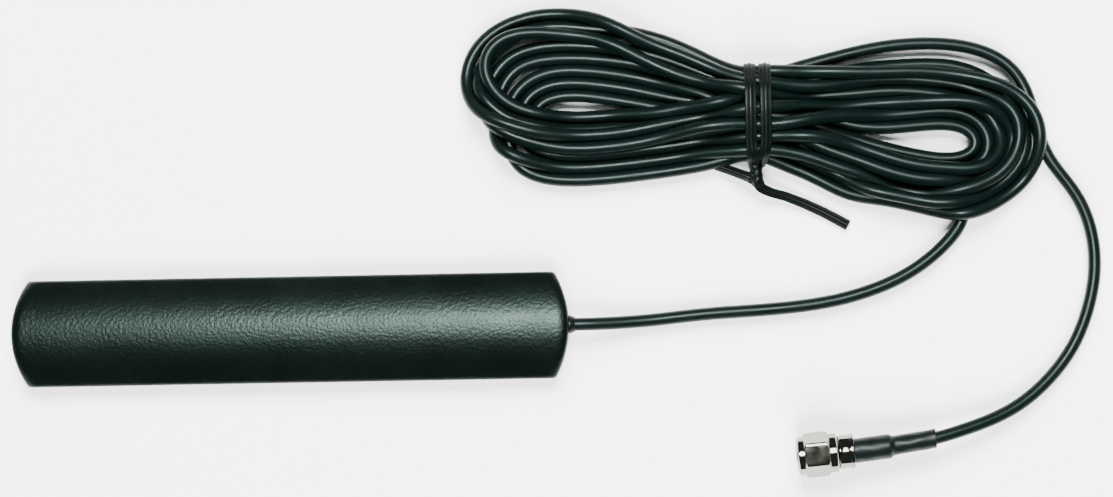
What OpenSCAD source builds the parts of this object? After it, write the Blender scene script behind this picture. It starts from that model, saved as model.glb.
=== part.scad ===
// Stick-on cellular antenna bar with a coiled coaxial lead and a screw-on plug.
// The bar lies on its adhesive pad, the lead leaves its +X end, lies as a tied hank
// beside it, and ends in a small hexagon plug. Origin: centre of the bar's underside.

/* [Housing] */
// Length of the bar over its bowed ends
bar_length = 115; // [80:1:160]
// Width of the bar
bar_width = 22; // [16:0.5:30]
// Top of the crown above the table
bar_top = 6.5; // [5.5:0.1:9]
// Radius of the bowed ends, seen from above
end_radius = 22; // [14:0.5:40]
// Radius of the domed top, across the bar
crown_radius = 20; // [14:0.5:60]
// Radius of the four upright corners
corner_radius = 1.2; // [0.4:0.1:3]
// Width of the sloped band along each bowed end
end_band = 2.2; // [1:0.1:4]
// Wall thickness of the cover
wall = 1.1; // [0.8:0.1:2]
// Thickness of the cover's top skin
skin = 0.9; // [0.6:0.1:1.5]
// Thickness of the base plate
base_thickness = 0.6; // [0.4:0.1:1]

/* [Adhesive pad] */
// Thickness of the release liner
liner_thickness = 0.12; // [0.05:0.01:0.3]
// Height of the tape's lower face
tape_bottom = 0.15; // [0.1:0.01:0.4]
// Height of the housing's lower face
tape_top = 1.0; // [0.6:0.05:1.6]

/* [Circuit board] */
// Length of the board
board_length = 101; // [60:1:110]
// Width of the board
board_width = 16; // [10:0.5:18]
// Thickness of the board
board_thickness = 0.6; // [0.4:0.1:1]
// Thickness of the copper
copper = 0.05; // [0.03:0.01:0.1]

/* [Cable] */
// Outer diameter of the cable
cable_diameter = 2.7; // [2:0.1:5]
// Diameter over the braid
braid_diameter = 2.2; // [1.6:0.1:4]
// Diameter of the dielectric
dielectric_diameter = 1.5; // [1:0.1:3]
// Diameter of the centre conductor
conductor_diameter = 0.48; // [0.3:0.02:1]
// Height of the cable where it leaves the bar
exit_height = 3.4; // [3:0.1:4]

/* [Hank] */
// Height of the wound hank
hank_height = 8.4; // [5:0.1:12]
// Width of one twist-tie band
band_width = 2.5; // [2:0.1:4]
// Thickness of the twist tie
band_thickness = 0.6; // [0.4:0.05:1]

/* [Plug] */
// Hexagon size across flats
hex_flats = 8; // [7:0.1:9]
// Height of the plug's axis above the table
plug_height = 4; // [4:0.1:6]
// Direction of the plug's axis, in degrees from +X
plug_angle = 4.8; // [0:0.1:20]
// Inner diameter of the nut's thread
thread_minor = 5.7; // [5.5:0.05:6]
// Diameter of the centre contact
pin_diameter = 0.915; // [0.8:0.005:1.3]

/* [Quality] */
// Number of sides on the free cable leads
lead_sides = 8; // [8:1:16]

/* [Hidden] */
$fn = 64;

eps = 0.01;
half_l = bar_length / 2;
half_w = bar_width / 2;
arc_x = half_l - end_radius;
base_top = tape_top + base_thickness;
board_top = base_top + board_thickness;
copper_top = board_top + copper;
cable_r = cable_diameter / 2;
braid_r = braid_diameter / 2;
diel_r = dielectric_diameter / 2;
cond_r = conductor_diameter / 2;
exit_x = half_l - 0.1;
hex_corner = hex_flats / cos(30);
plug_tip = [103.7, -27.85];
sleeve_end = 28.4;
core_end = 24.5;
sleeve_x = plug_tip[0] + sleeve_end * cos(plug_angle);
sleeve_y = plug_tip[1] + sleeve_end * sin(plug_angle);

// free cable routes, along the centre line
near_route = [[exit_x, 0, exit_height], [61, 0, 3.3], [65.5, 0.1, 2.8], [71, 0.4, 2],
    [77.5, 0.9, 1.5], [85, 1.7, 1.4], [93, 2.1, 1.4], [101, 2.6, 1.4],
    [110, 3.6, 1.4], [118.5, 5.6, 1.4], [127, 9.1, 1.4], [133.5, 13.8, 1.4],
    [137.8, 19, 1.4], [138.8, 22, 1.4]];
loop_route = [[101, 51.3, 2.2], [105.5, 52.5, 1.8], [110.5, 53.7, 1.5],
    [118, 55.4, 1.4], [126, 56.6, 1.4], [135, 56.7, 1.4], [141, 55.8, 1.4],
    [146.4, 53.8, 1.4], [150.4, 50.6, 1.4], [152.5, 46.6, 1.4], [153.3, 43.8, 1.4]];
far_route = [[154.9, 36.5, 1.4], [156.3, 32.8, 1.4], [159.2, 29.1, 1.4],
    [162.7, 24.2, 1.4], [164.9, 17.8, 1.4], [165.6, 10.6, 1.4], [164.3, 3, 1.4],
    [160.9, -5.9, 1.5], [155.4, -12.9, 1.8], [149.4, -18, 2.4],
    [142.4, -22.1, 3.2], [137.2, -24.4, 3.8], [sleeve_x, sleeve_y, plug_height]];
tail_route = [[97.2, 31.6, 3.6], [97.6, 29.4, 3.2], [99.4, 27.6, 2.6],
    [103, 25.9, 1.7], [106.4, 24.4, 0.9], [110.4, 22.3, 0.5], [115.4, 19.5, 0.4]];
wire_route = concat(tail_route, [[116, 19.14, 0.4]]);
stub_route = [[87.4, 31.9, 1.6], [90.4, 31.4, 1.9], [93.4, 30.6, 2.5],
    [96.2, 30, 3], [97.8, 29.7, 3.2]];

// outline of the hank seen from above
hank_outline = [[97, 52.6], [92, 53.1], [88, 54.8], [84, 56.8], [80, 58.7],
    [76, 60.2], [72, 61.6], [65, 63.3], [60, 64.2], [54, 65], [48.5, 64.5],
    [43.2, 62.3], [39.4, 59], [36.9, 55], [36.2, 51.5], [37.2, 47.5],
    [39.1, 43.5], [40.7, 39], [42.2, 35.2], [44.8, 32.2], [50, 30.2],
    [55, 29.6], [66, 29.6], [73, 30.6], [80, 31.9], [88, 33], [94, 33.4],
    [100, 33.2], [105, 31.5], [110, 29.9], [115, 28.1], [121, 25.7],
    [126, 23.7], [131, 22.1], [135, 21.4], [139, 21], [143, 21.9],
    [148.5, 24.4], [153, 27.6], [155.7, 31.5], [156.6, 36], [156, 39.8],
    [154.2, 43.6], [150.6, 47.3], [145.3, 50], [139.4, 52.1], [132.5, 53.1],
    [123, 52.6], [114, 52.4], [100, 52.3]];
hank_left_hole = [[54.4, 44.4], [58, 43.5], [64, 43.4], [70.2, 44.3], [70.4, 45],
    [66, 45.8], [60, 46], [55.4, 45.6]];
hank_right_hole = [[116.8, 38.8], [121.6, 36.9], [128, 34.8], [133, 33.6],
    [137.4, 33.5], [140.6, 34.2], [141, 35.8], [140.6, 37.6], [138.6, 38.6],
    [133, 39], [126, 39.3], [120, 39.4]];
tie_x = 94.4;
tie_gap = 0.5;
tie_low = 33.0;
tie_high = 52.9;
tie_floor = band_thickness + 0.05;
tie_roof = 8.05;

// one point of a smooth curve between b and c
function blend(a, b, c, d, t) =
    0.5 * (2 * b + (c - a) * t + (2 * a - 5 * b + 4 * c - d) * t * t
    + (3 * b - a - 3 * c + d) * t * t * t);
function last(v) = v[len(v) - 1];
function smooth(p, n) = concat(
    [for (i = [0:len(p) - 2]) for (k = [0:n - 1])
        blend(i == 0 ? 2 * p[0] - p[1] : p[i - 1], p[i], p[i + 1],
            i == len(p) - 2 ? 2 * last(p) - p[i] : p[i + 2], k / n)],
    [last(p)]);
function unit(v) = v / norm(v);
function heading(p, i) = unit(p[min(i + 1, len(p) - 1)] - p[max(i - 1, 0)]);
function across(t) = unit([-t[1], t[0], 0]);
function ring(p, i, shape) =
    let (t = heading(p, i), a = across(t), b = cross(t, a))
    [for (s = shape) p[i] + s[0] * a + s[1] * b];
function round_shape(r, n) = [for (k = [0:n - 1])
    [r * cos(360 * (k + 0.5) / n), r * sin(360 * (k + 0.5) / n)]];

// one closed solid with the given cross-section along the path
module sweep(p, shape) {
    n = len(shape);
    m = len(p);
    pts = [for (i = [0:m - 1]) each ring(p, i, shape)];
    sides = [for (i = [0:m - 2]) for (k = [0:n - 1])
        [i * n + k, i * n + (k + 1) % n, (i + 1) * n + (k + 1) % n, (i + 1) * n + k]];
    start = [for (k = [0:n - 1]) n - 1 - k];
    finish = [for (k = [0:n - 1]) (m - 1) * n + k];
    polyhedron(points = pts, faces = concat([start, finish], sides), convexity = 6);
}

// wedge left outside a rounded upright corner, in the +X +Y quarter
module corner_wedge(g, r) {
    er = end_radius - g - r;
    cy = half_w - g - r;
    cx = arc_x + sqrt(er * er - cy * cy);
    a = atan2(cy, cx - arc_x);
    difference() {
        polygon([[cx, cy], [cx, cy + 4], [cx + 4, cy + 4],
            [cx + 4 * cos(a), cy + 4 * sin(a)]]);
        translate([cx, cy]) circle(r = r);
    }
}

// outline of the bar, drawn in by g all round
module bar_plan(g) {
    r = corner_radius - g;
    difference() {
        square([bar_length - 2 * g, bar_width - 2 * g], center = true);
        for (s = [0, 1]) mirror([s, 0]) {
            difference() {
                translate([half_l - 8, -half_w - 1]) square([10, bar_width + 2]);
                translate([arc_x, 0]) circle(r = end_radius - g, $fn = 128);
            }
            if (r > 0.3) for (t = [0, 1]) mirror([0, t]) corner_wedge(g, r);
        }
    }
}

// half-round log that gives the domed top, drawn in by g
module crown(g) {
    translate([-half_l - 5, 0, bar_top - crown_radius])
        rotate([0, 90, 0]) cylinder(r = crown_radius - g, h = bar_length + 10, $fn = 128);
}

// body that cuts the sloped band at the +X end, drawn in by g and lowered by d
module end_slope(g, d) {
    r = end_radius - g;
    z = bar_top - d;
    union() {
        translate([arc_x, 0, 0]) rotate_extrude($fn = 128)
            polygon([[0, -2], [r, -2], [r, z - 1.1], [r - 0.8, z - 0.4],
                [r - end_band, z], [0, z]]);
        translate([-half_l - 9, -half_w - 3, -3])
            cube([half_l + arc_x + 19, bar_width + 6, bar_top + 6]);
    }
}

module bar_solid(g, d, floor_z) {
    intersection() {
        translate([0, 0, floor_z]) linear_extrude(height = bar_top) bar_plan(g);
        crown(d);
        end_slope(g, d);
        mirror([1, 0, 0]) end_slope(g, d);
    }
}

module along_x(x, y, z) translate([x, y, z]) rotate([0, 90, 0]) children();

// local +Z runs from the plug's mouth towards the cable
module plug_axis()
    translate([plug_tip[0], plug_tip[1], plug_height])
        rotate([0, 0, plug_angle]) rotate([0, 90, 0]) children();

module tube(r_out, r_in, z0, z1)
    translate([0, 0, z0]) difference() {
        cylinder(r = r_out, h = z1 - z0);
        translate([0, 0, -1]) cylinder(r = r_in, h = z1 - z0 + 2);
    }

module rod(r, z0, z1) translate([0, 0, z0]) cylinder(r = r, h = z1 - z0);

module top_cover() color([0.05, 0.05, 0.055])
    difference() {
        bar_solid(0, 0, tape_top);
        bar_solid(wall, skin, tape_top - 1);
        along_x(half_l - 4, 0, exit_height) cylinder(r = cable_r + 0.4, h = 8);
    }

module base_plate() color([0.07, 0.07, 0.075])
    union() {
        translate([0, 0, tape_top]) linear_extrude(height = base_thickness)
            bar_plan(wall + 0.05);
        for (y = [-6, 6]) translate([-49.5, y, base_top - 0.1]) cylinder(r = 0.9, h = 1);
    }

module circuit_board() color([0.05, 0.28, 0.14])
    translate([0, 0, base_top]) linear_extrude(height = board_thickness) difference() {
        translate([-52, -board_width / 2]) square([board_length, board_width]);
        for (y = [-6, 6]) translate([-49.5, y]) circle(r = 0.95);
    }

module radiator_arm() color([0.75, 0.42, 0.24])
    translate([0, 0, board_top]) linear_extrude(height = copper) union() {
        translate([-46, -5.2]) square([82, 10.4]);
        translate([30, -1.6]) square([12.6, 3.2]);
    }

module ground_arm() color([0.75, 0.42, 0.24])
    translate([0, 0, board_top]) linear_extrude(height = copper) union() {
        translate([43.6, -7.6]) square([5, 15.2]);
        for (y = [-7.6, 6.2]) translate([4, y]) square([42, 1.4]);
    }

module solder_centre() color([0.72, 0.72, 0.74])
    difference() {
        translate([41.3, 0, copper_top]) cylinder(r1 = 1.3, r2 = 0.6, h = 1.55);
        along_x(38, 0, exit_height) cylinder(r = cond_r + 0.005, h = 8);
    }

module solder_braid() color([0.72, 0.72, 0.74])
    difference() {
        translate([45.6, -1.9, copper_top]) cube([2.6, 3.8, 1.2]);
        along_x(44, 0, exit_height) cylinder(r = braid_r, h = 8);
    }

module spacer_pads() color([0.18, 0.18, 0.19])
    for (x = [-35, -5, 25])
        translate([x - 4, -3, copper_top]) cube([8, 6, 3]);

module stop_ring() color([0.7, 0.7, 0.72])
    along_x(0, 0, exit_height) tube(1.74, cable_r + 0.01, 52, 54.5);

module entry_bushing() color([0.06, 0.06, 0.065])
    along_x(0, 0, exit_height) union() {
        tube(cable_r + 0.39, cable_r + 0.01, half_l - 1.6, half_l + 0.2);
        tube(cable_r + 0.65, cable_r + 0.01, half_l + 0.02, half_l + 0.5);
    }

module adhesive_pad() color([0.12, 0.12, 0.12])
    translate([0, 0, tape_bottom]) linear_extrude(height = tape_top - tape_bottom)
        bar_plan(0.7);

module release_liner() color([0.86, 0.83, 0.72])
    linear_extrude(height = liner_thickness) bar_plan(0.5);

module bar_jacket_stub() color([0.04, 0.04, 0.045])
    along_x(0, 0, exit_height) tube(cable_r, braid_r, 50, exit_x);

module bar_braid_stub() color([0.75, 0.75, 0.76])
    along_x(0, 0, exit_height) tube(braid_r, diel_r, 45.4, exit_x);

module bar_dielectric_stub() color([0.92, 0.92, 0.9])
    along_x(0, 0, exit_height) tube(diel_r, cond_r, 43.4, exit_x);

module bar_conductor_stub() color([0.8, 0.8, 0.82])
    along_x(0, 0, exit_height) rod(cond_r, 40.4, exit_x);

module cable_near_lead() color([0.04, 0.04, 0.045])
    sweep(smooth(near_route, 2), round_shape(cable_r, lead_sides));

module cable_top_loop() color([0.04, 0.04, 0.045])
    sweep(smooth(loop_route, 2), round_shape(cable_r, lead_sides));

module cable_far_lead() color([0.04, 0.04, 0.045])
    sweep(smooth(far_route, 2), round_shape(cable_r, lead_sides));

module cable_hank() color([0.04, 0.04, 0.045])
    difference() {
        linear_extrude(height = hank_height) difference() {
            polygon(hank_outline);
            polygon(hank_left_hole);
            polygon(hank_right_hole);
        }
        translate([tie_x - 0.2, 20, -1])
            cube([2 * band_width + tie_gap + 0.4, 45, tie_floor + 1]);
        translate([tie_x - 0.2, 20, tie_roof])
            cube([2 * band_width + tie_gap + 0.4, 45, 5]);
    }

// closed band around the waist of the hank, starting at x
module tie_band(x)
    translate([x, 0, 0]) rotate([90, 0, 90]) linear_extrude(height = band_width)
        difference() {
            translate([tie_low - band_thickness, 0])
                square([tie_high - tie_low + 2 * band_thickness,
                    tie_roof + band_thickness + 0.05]);
            translate([tie_low, band_thickness])
                square([tie_high - tie_low, tie_roof + 0.05 - band_thickness]);
        }

// flat strip laid along the route in straight lengths
module strip(p, w)
    for (i = [0:len(p) - 2])
        let (d = p[i + 1] - p[i], l = norm(d))
            translate(p[i]) rotate([0, -asin(d[2] / l), atan2(d[1], d[0])])
                translate([-0.3, -w / 2, -band_thickness / 2])
                    cube([l + 0.6, w, band_thickness]);

module twist_tie_strip() color([0.05, 0.05, 0.055])
    union() {
        tie_band(tie_x);
        tie_band(tie_x + band_width + tie_gap);
        translate([tie_x + 0.6, tie_low - 1.7, 2.7]) cube([4.3, 1.4, 1.9]);
        translate([97.1, 32, 3.6]) rotate([98, 0, 8]) cylinder(r = 1.15, h = 3.2);
        strip(tail_route, 2.6);
        strip(stub_route, 2.4);
    }

module twist_tie_wire() color([0.6, 0.6, 0.62])
    sweep(wire_route, round_shape(0.19, 6));

module coupling_nut() color([0.78, 0.77, 0.74])
    plug_axis() difference() {
        union() {
            cylinder(r1 = 3.6, r2 = 3.85, h = 0.25);
            rod(3.85, 0.25, 1.4);
            intersection() {
                translate([0, 0, 1.2]) rotate([0, 0, 30])
                    cylinder(d = hex_corner, h = 5.4, $fn = 6);
                union() {
                    translate([0, 0, 1.2]) cylinder(r1 = 3.95, r2 = 4.7, h = 0.75);
                    rod(4.7, 1.95, 6);
                    translate([0, 0, 6]) cylinder(r1 = 4.7, r2 = 4.15, h = 0.6);
                }
            }
            translate([0, 0, 6.5]) cylinder(r1 = 4, r2 = 3.5, h = 1.7);
        }
        translate([0, 0, -eps]) cylinder(r1 = 3.25, r2 = thread_minor / 2, h = 0.41);
        rod(thread_minor / 2, 0.3, 4.95);
        rod(3.05, 4.9, 5.85);
        rod(2.34, 5.8, 8.4);
    }

module retaining_ring() color([0.66, 0.64, 0.58])
    plug_axis() tube(3, 2.06, 5.3, 5.8);

module sealing_gasket() color([0.55, 0.2, 0.14])
    plug_axis() tube(2.8, 2.27, 4.15, 4.75);

module connector_body() color([0.78, 0.77, 0.74])
    plug_axis() difference() {
        union() {
            rod(2.26, 3, 5);
            rod(1.98, 4.9, 5.9);
            rod(2.26, 5.85, 8.3);
            translate([0, 0, 8.25]) cylinder(r1 = 2.95, r2 = 3.25, h = 0.5);
            rod(3.25, 8.7, 10.9);
            rod(3.45, 10.8, 11.5);
            rod(1.15, 11.4, 18);
        }
        rod(2.05, 2.9, 4.6);
        rod(1.45, 4.5, 10);
        rod(0.8, 9.9, 18.1);
    }

module connector_insulator() color([0.93, 0.93, 0.91])
    plug_axis() difference() {
        union() {
            rod(2.04, 3, 4.55);
            rod(1.44, 4.5, 9.5);
        }
        rod(0.645, 2.9, 9.6);
    }

module centre_pin() color([0.85, 0.66, 0.3])
    plug_axis() difference() {
        union() {
            translate([0, 0, 0.8]) cylinder(r1 = 0.25, r2 = pin_diameter / 2, h = 0.3);
            rod(pin_diameter / 2, 1.1, 3.1);
            rod(0.635, 3, 9);
        }
        rod(cond_r + 0.01, 6.5, 9.1);
    }

module crimp_ferrule() color([0.74, 0.73, 0.7])
    plug_axis() tube(2.2, 1.5, 11.6, 18.2);

module plug_braid() color([0.75, 0.75, 0.76])
    plug_axis() difference() {
        union() {
            rod(1.49, 11.8, 18.25);
            rod(braid_r, 18.2, core_end);
        }
        rod(1.16, 11.6, 18.05);
        rod(diel_r + 0.01, 17, core_end + 1);
    }

module plug_jacket_stub() color([0.04, 0.04, 0.045])
    plug_axis() tube(cable_r, braid_r, 18.7, sleeve_end);

module plug_dielectric_stub() color([0.92, 0.92, 0.9])
    plug_axis() tube(diel_r, cond_r, 9.6, core_end);

module plug_conductor_stub() color([0.8, 0.8, 0.82])
    plug_axis() rod(cond_r, 6.8, core_end);

module heat_shrink_sleeve() color([0.05, 0.05, 0.055])
    plug_axis() difference() {
        union() {
            rod(2.5, 11.55, 18.9);
            translate([0, 0, 18.9]) cylinder(r1 = 2.5, r2 = 2, h = 0.7);
            rod(2, 19.6, sleeve_end);
        }
        rod(2.21, 11, 18.25);
        translate([0, 0, 18.25]) cylinder(r1 = 2.21, r2 = cable_r + 0.01, h = 0.8);
        rod(cable_r + 0.01, 18.6, sleeve_end + 1);
    }

top_cover();
base_plate();
circuit_board();
radiator_arm();
ground_arm();
solder_centre();
solder_braid();
spacer_pads();
stop_ring();
entry_bushing();
adhesive_pad();
release_liner();
bar_jacket_stub();
bar_braid_stub();
bar_dielectric_stub();
bar_conductor_stub();
cable_near_lead();
cable_hank();
cable_top_loop();
cable_far_lead();
twist_tie_strip();
twist_tie_wire();
coupling_nut();
retaining_ring();
sealing_gasket();
connector_body();
connector_insulator();
centre_pin();
crimp_ferrule();
plug_braid();
plug_jacket_stub();
plug_dielectric_stub();
plug_conductor_stub();
heat_shrink_sleeve();
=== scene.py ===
"""Looks of a stick-on antenna bar with a tied hank of coaxial lead and a screw-on plug.

Order: camera and lights, the lead, materials, then the bar, the twist tie and the plug.
Lengths named *_MM and every route are in millimetres; Blender's own are in metres.
"""
import math

import bmesh
import bpy
import numpy as np
from mathutils import Matrix, Vector


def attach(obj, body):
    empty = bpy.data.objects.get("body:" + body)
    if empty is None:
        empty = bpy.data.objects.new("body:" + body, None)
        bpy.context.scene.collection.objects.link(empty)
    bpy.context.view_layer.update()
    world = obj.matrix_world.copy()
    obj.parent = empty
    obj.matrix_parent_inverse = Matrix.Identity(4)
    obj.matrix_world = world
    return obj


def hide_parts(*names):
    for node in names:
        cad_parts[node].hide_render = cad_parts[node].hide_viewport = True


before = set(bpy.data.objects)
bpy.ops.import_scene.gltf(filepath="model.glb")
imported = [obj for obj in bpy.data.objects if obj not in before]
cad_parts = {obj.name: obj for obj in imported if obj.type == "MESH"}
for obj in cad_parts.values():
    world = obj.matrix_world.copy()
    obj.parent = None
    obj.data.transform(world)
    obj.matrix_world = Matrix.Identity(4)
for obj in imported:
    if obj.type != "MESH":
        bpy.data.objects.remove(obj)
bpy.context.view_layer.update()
MM = 0.001

# ---------------------------------------------------------------- camera and light
VIEW_CENTRE = Vector((0.0552, 0.0157, 0.003))
VIEW_WIDTH = 0.2293
VIEW_DISTANCE = 0.6
VIEW_ROLL = math.radians(1.1)
LEAN_RIGHT = math.radians(2.0)
LEAN_NEAR = math.radians(4.0)
SENSOR_MM = 36.0
AIM = (0.05, 0.01, 0)           # where the key and the fills point
FILL_POWER = 112.0


def make_camera():
    right = Vector((math.cos(VIEW_ROLL), -math.sin(VIEW_ROLL), 0))
    up = Vector((math.sin(VIEW_ROLL), math.cos(VIEW_ROLL), 0))
    back = (right * math.sin(LEAN_RIGHT) - up * math.sin(LEAN_NEAR) + Vector((0, 0, 1))).normalized()
    right = (right - back * right.dot(back)).normalized()
    data = bpy.data.cameras.new("camera")
    data.sensor_width = SENSOR_MM
    data.lens = SENSOR_MM * VIEW_DISTANCE / VIEW_WIDTH
    data.clip_start, data.clip_end = 0.01, 20
    camera = bpy.data.objects.new("camera", data)
    turn = Matrix((right, back.cross(right), back)).transposed().to_4x4()
    camera.matrix_world = Matrix.Translation(VIEW_CENTRE + back * VIEW_DISTANCE) @ turn
    bpy.context.scene.collection.objects.link(camera)
    bpy.context.scene.camera = camera


def area_light(name, at, aim, size, power, colour=(1, 1, 1), glossy=True, diffuse=True,
               length=None):
    """A disc of this size at one point, facing another; or an oblong where a length is given."""
    data = bpy.data.lights.new(name, "AREA")
    data.shape, data.size, data.energy, data.color = "DISK", size, power, colour
    if length:
        data.shape, data.size_y = "RECTANGLE", length
    light = bpy.data.objects.new(name, data)
    at, aim = Vector(at), Vector(aim)
    turn = (at - aim).to_track_quat("Z", "Y").to_matrix().to_4x4()
    light.matrix_world = Matrix.Translation(at) @ turn
    light.visible_camera = False
    light.visible_glossy, light.visible_diffuse = glossy, diffuse
    bpy.context.scene.collection.objects.link(light)


make_camera()
# the small key makes the highlights, the big fills make the even white of the table
area_light("key", (0.034, 0.105, 0.62), AIM, 0.08, 10.5, (0.93, 1.0, 0.98), diffuse=False)
# a card over the plug, whose near edge is mirrored in the nut's upper flat
area_light("card", (0.175, 0.1315, 0.6), (0.175, 0.1315, 0), 0.13, 2.2, (0.97, 1.0, 0.98),
           diffuse=False, length=0.3)
area_light("fill_far", (0.1, 1.0, 1.0), AIM, 1.0, FILL_POWER, glossy=False)
area_light("fill_near", (0.1, -1.1, 1.0), AIM, 1.0, FILL_POWER, glossy=False)

world = bpy.data.worlds.new("studio")
bpy.context.scene.world = world
world.use_nodes = True
world.node_tree.nodes["Background"].inputs["Color"].default_value = (0.07, 0.085, 0.08, 1)
world.node_tree.nodes["Background"].inputs["Strength"].default_value = 1.0

# ---------------------------------------------------------------- the lead's route
CABLE_MM = 2.7
RADIUS_MM = CABLE_MM / 2
LAYER_MM = 2.35                 # rise of one strand lying in the groove of those below
EXIT_MM = (57.4, 0.0, 3.4)      # inside the bar's bushing
PLUG_TIP_MM = np.array((103.7, -27.85, 4.0))
PLUG_TURN = math.radians(4.8)
SLEEVE_END_MM = 28.4
SLEEVE_BEND_FROM_MM, SLEEVE_DRIFT_MM = 12, 0.9
PLUG_ALONG = np.array((math.cos(PLUG_TURN), math.sin(PLUG_TURN), 0))
PLUG_ACROSS = np.array((-math.sin(PLUG_TURN), math.cos(PLUG_TURN), 0))
PLUG_UP = np.array((0.0, 0.0, 1.0))


def sleeve_bend(s):
    """Sideways drift of the heat-shrink sleeve's axis towards the lead, s from the plug's mouth."""
    bent = max(0.0, (s - SLEEVE_BEND_FROM_MM) / (SLEEVE_END_MM - SLEEVE_BEND_FROM_MM))
    return SLEEVE_DRIFT_MM * bent ** 1.7


def plug_point(s, drift=0.0):
    return PLUG_TIP_MM + PLUG_ALONG * s + PLUG_ACROSS * drift


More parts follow.
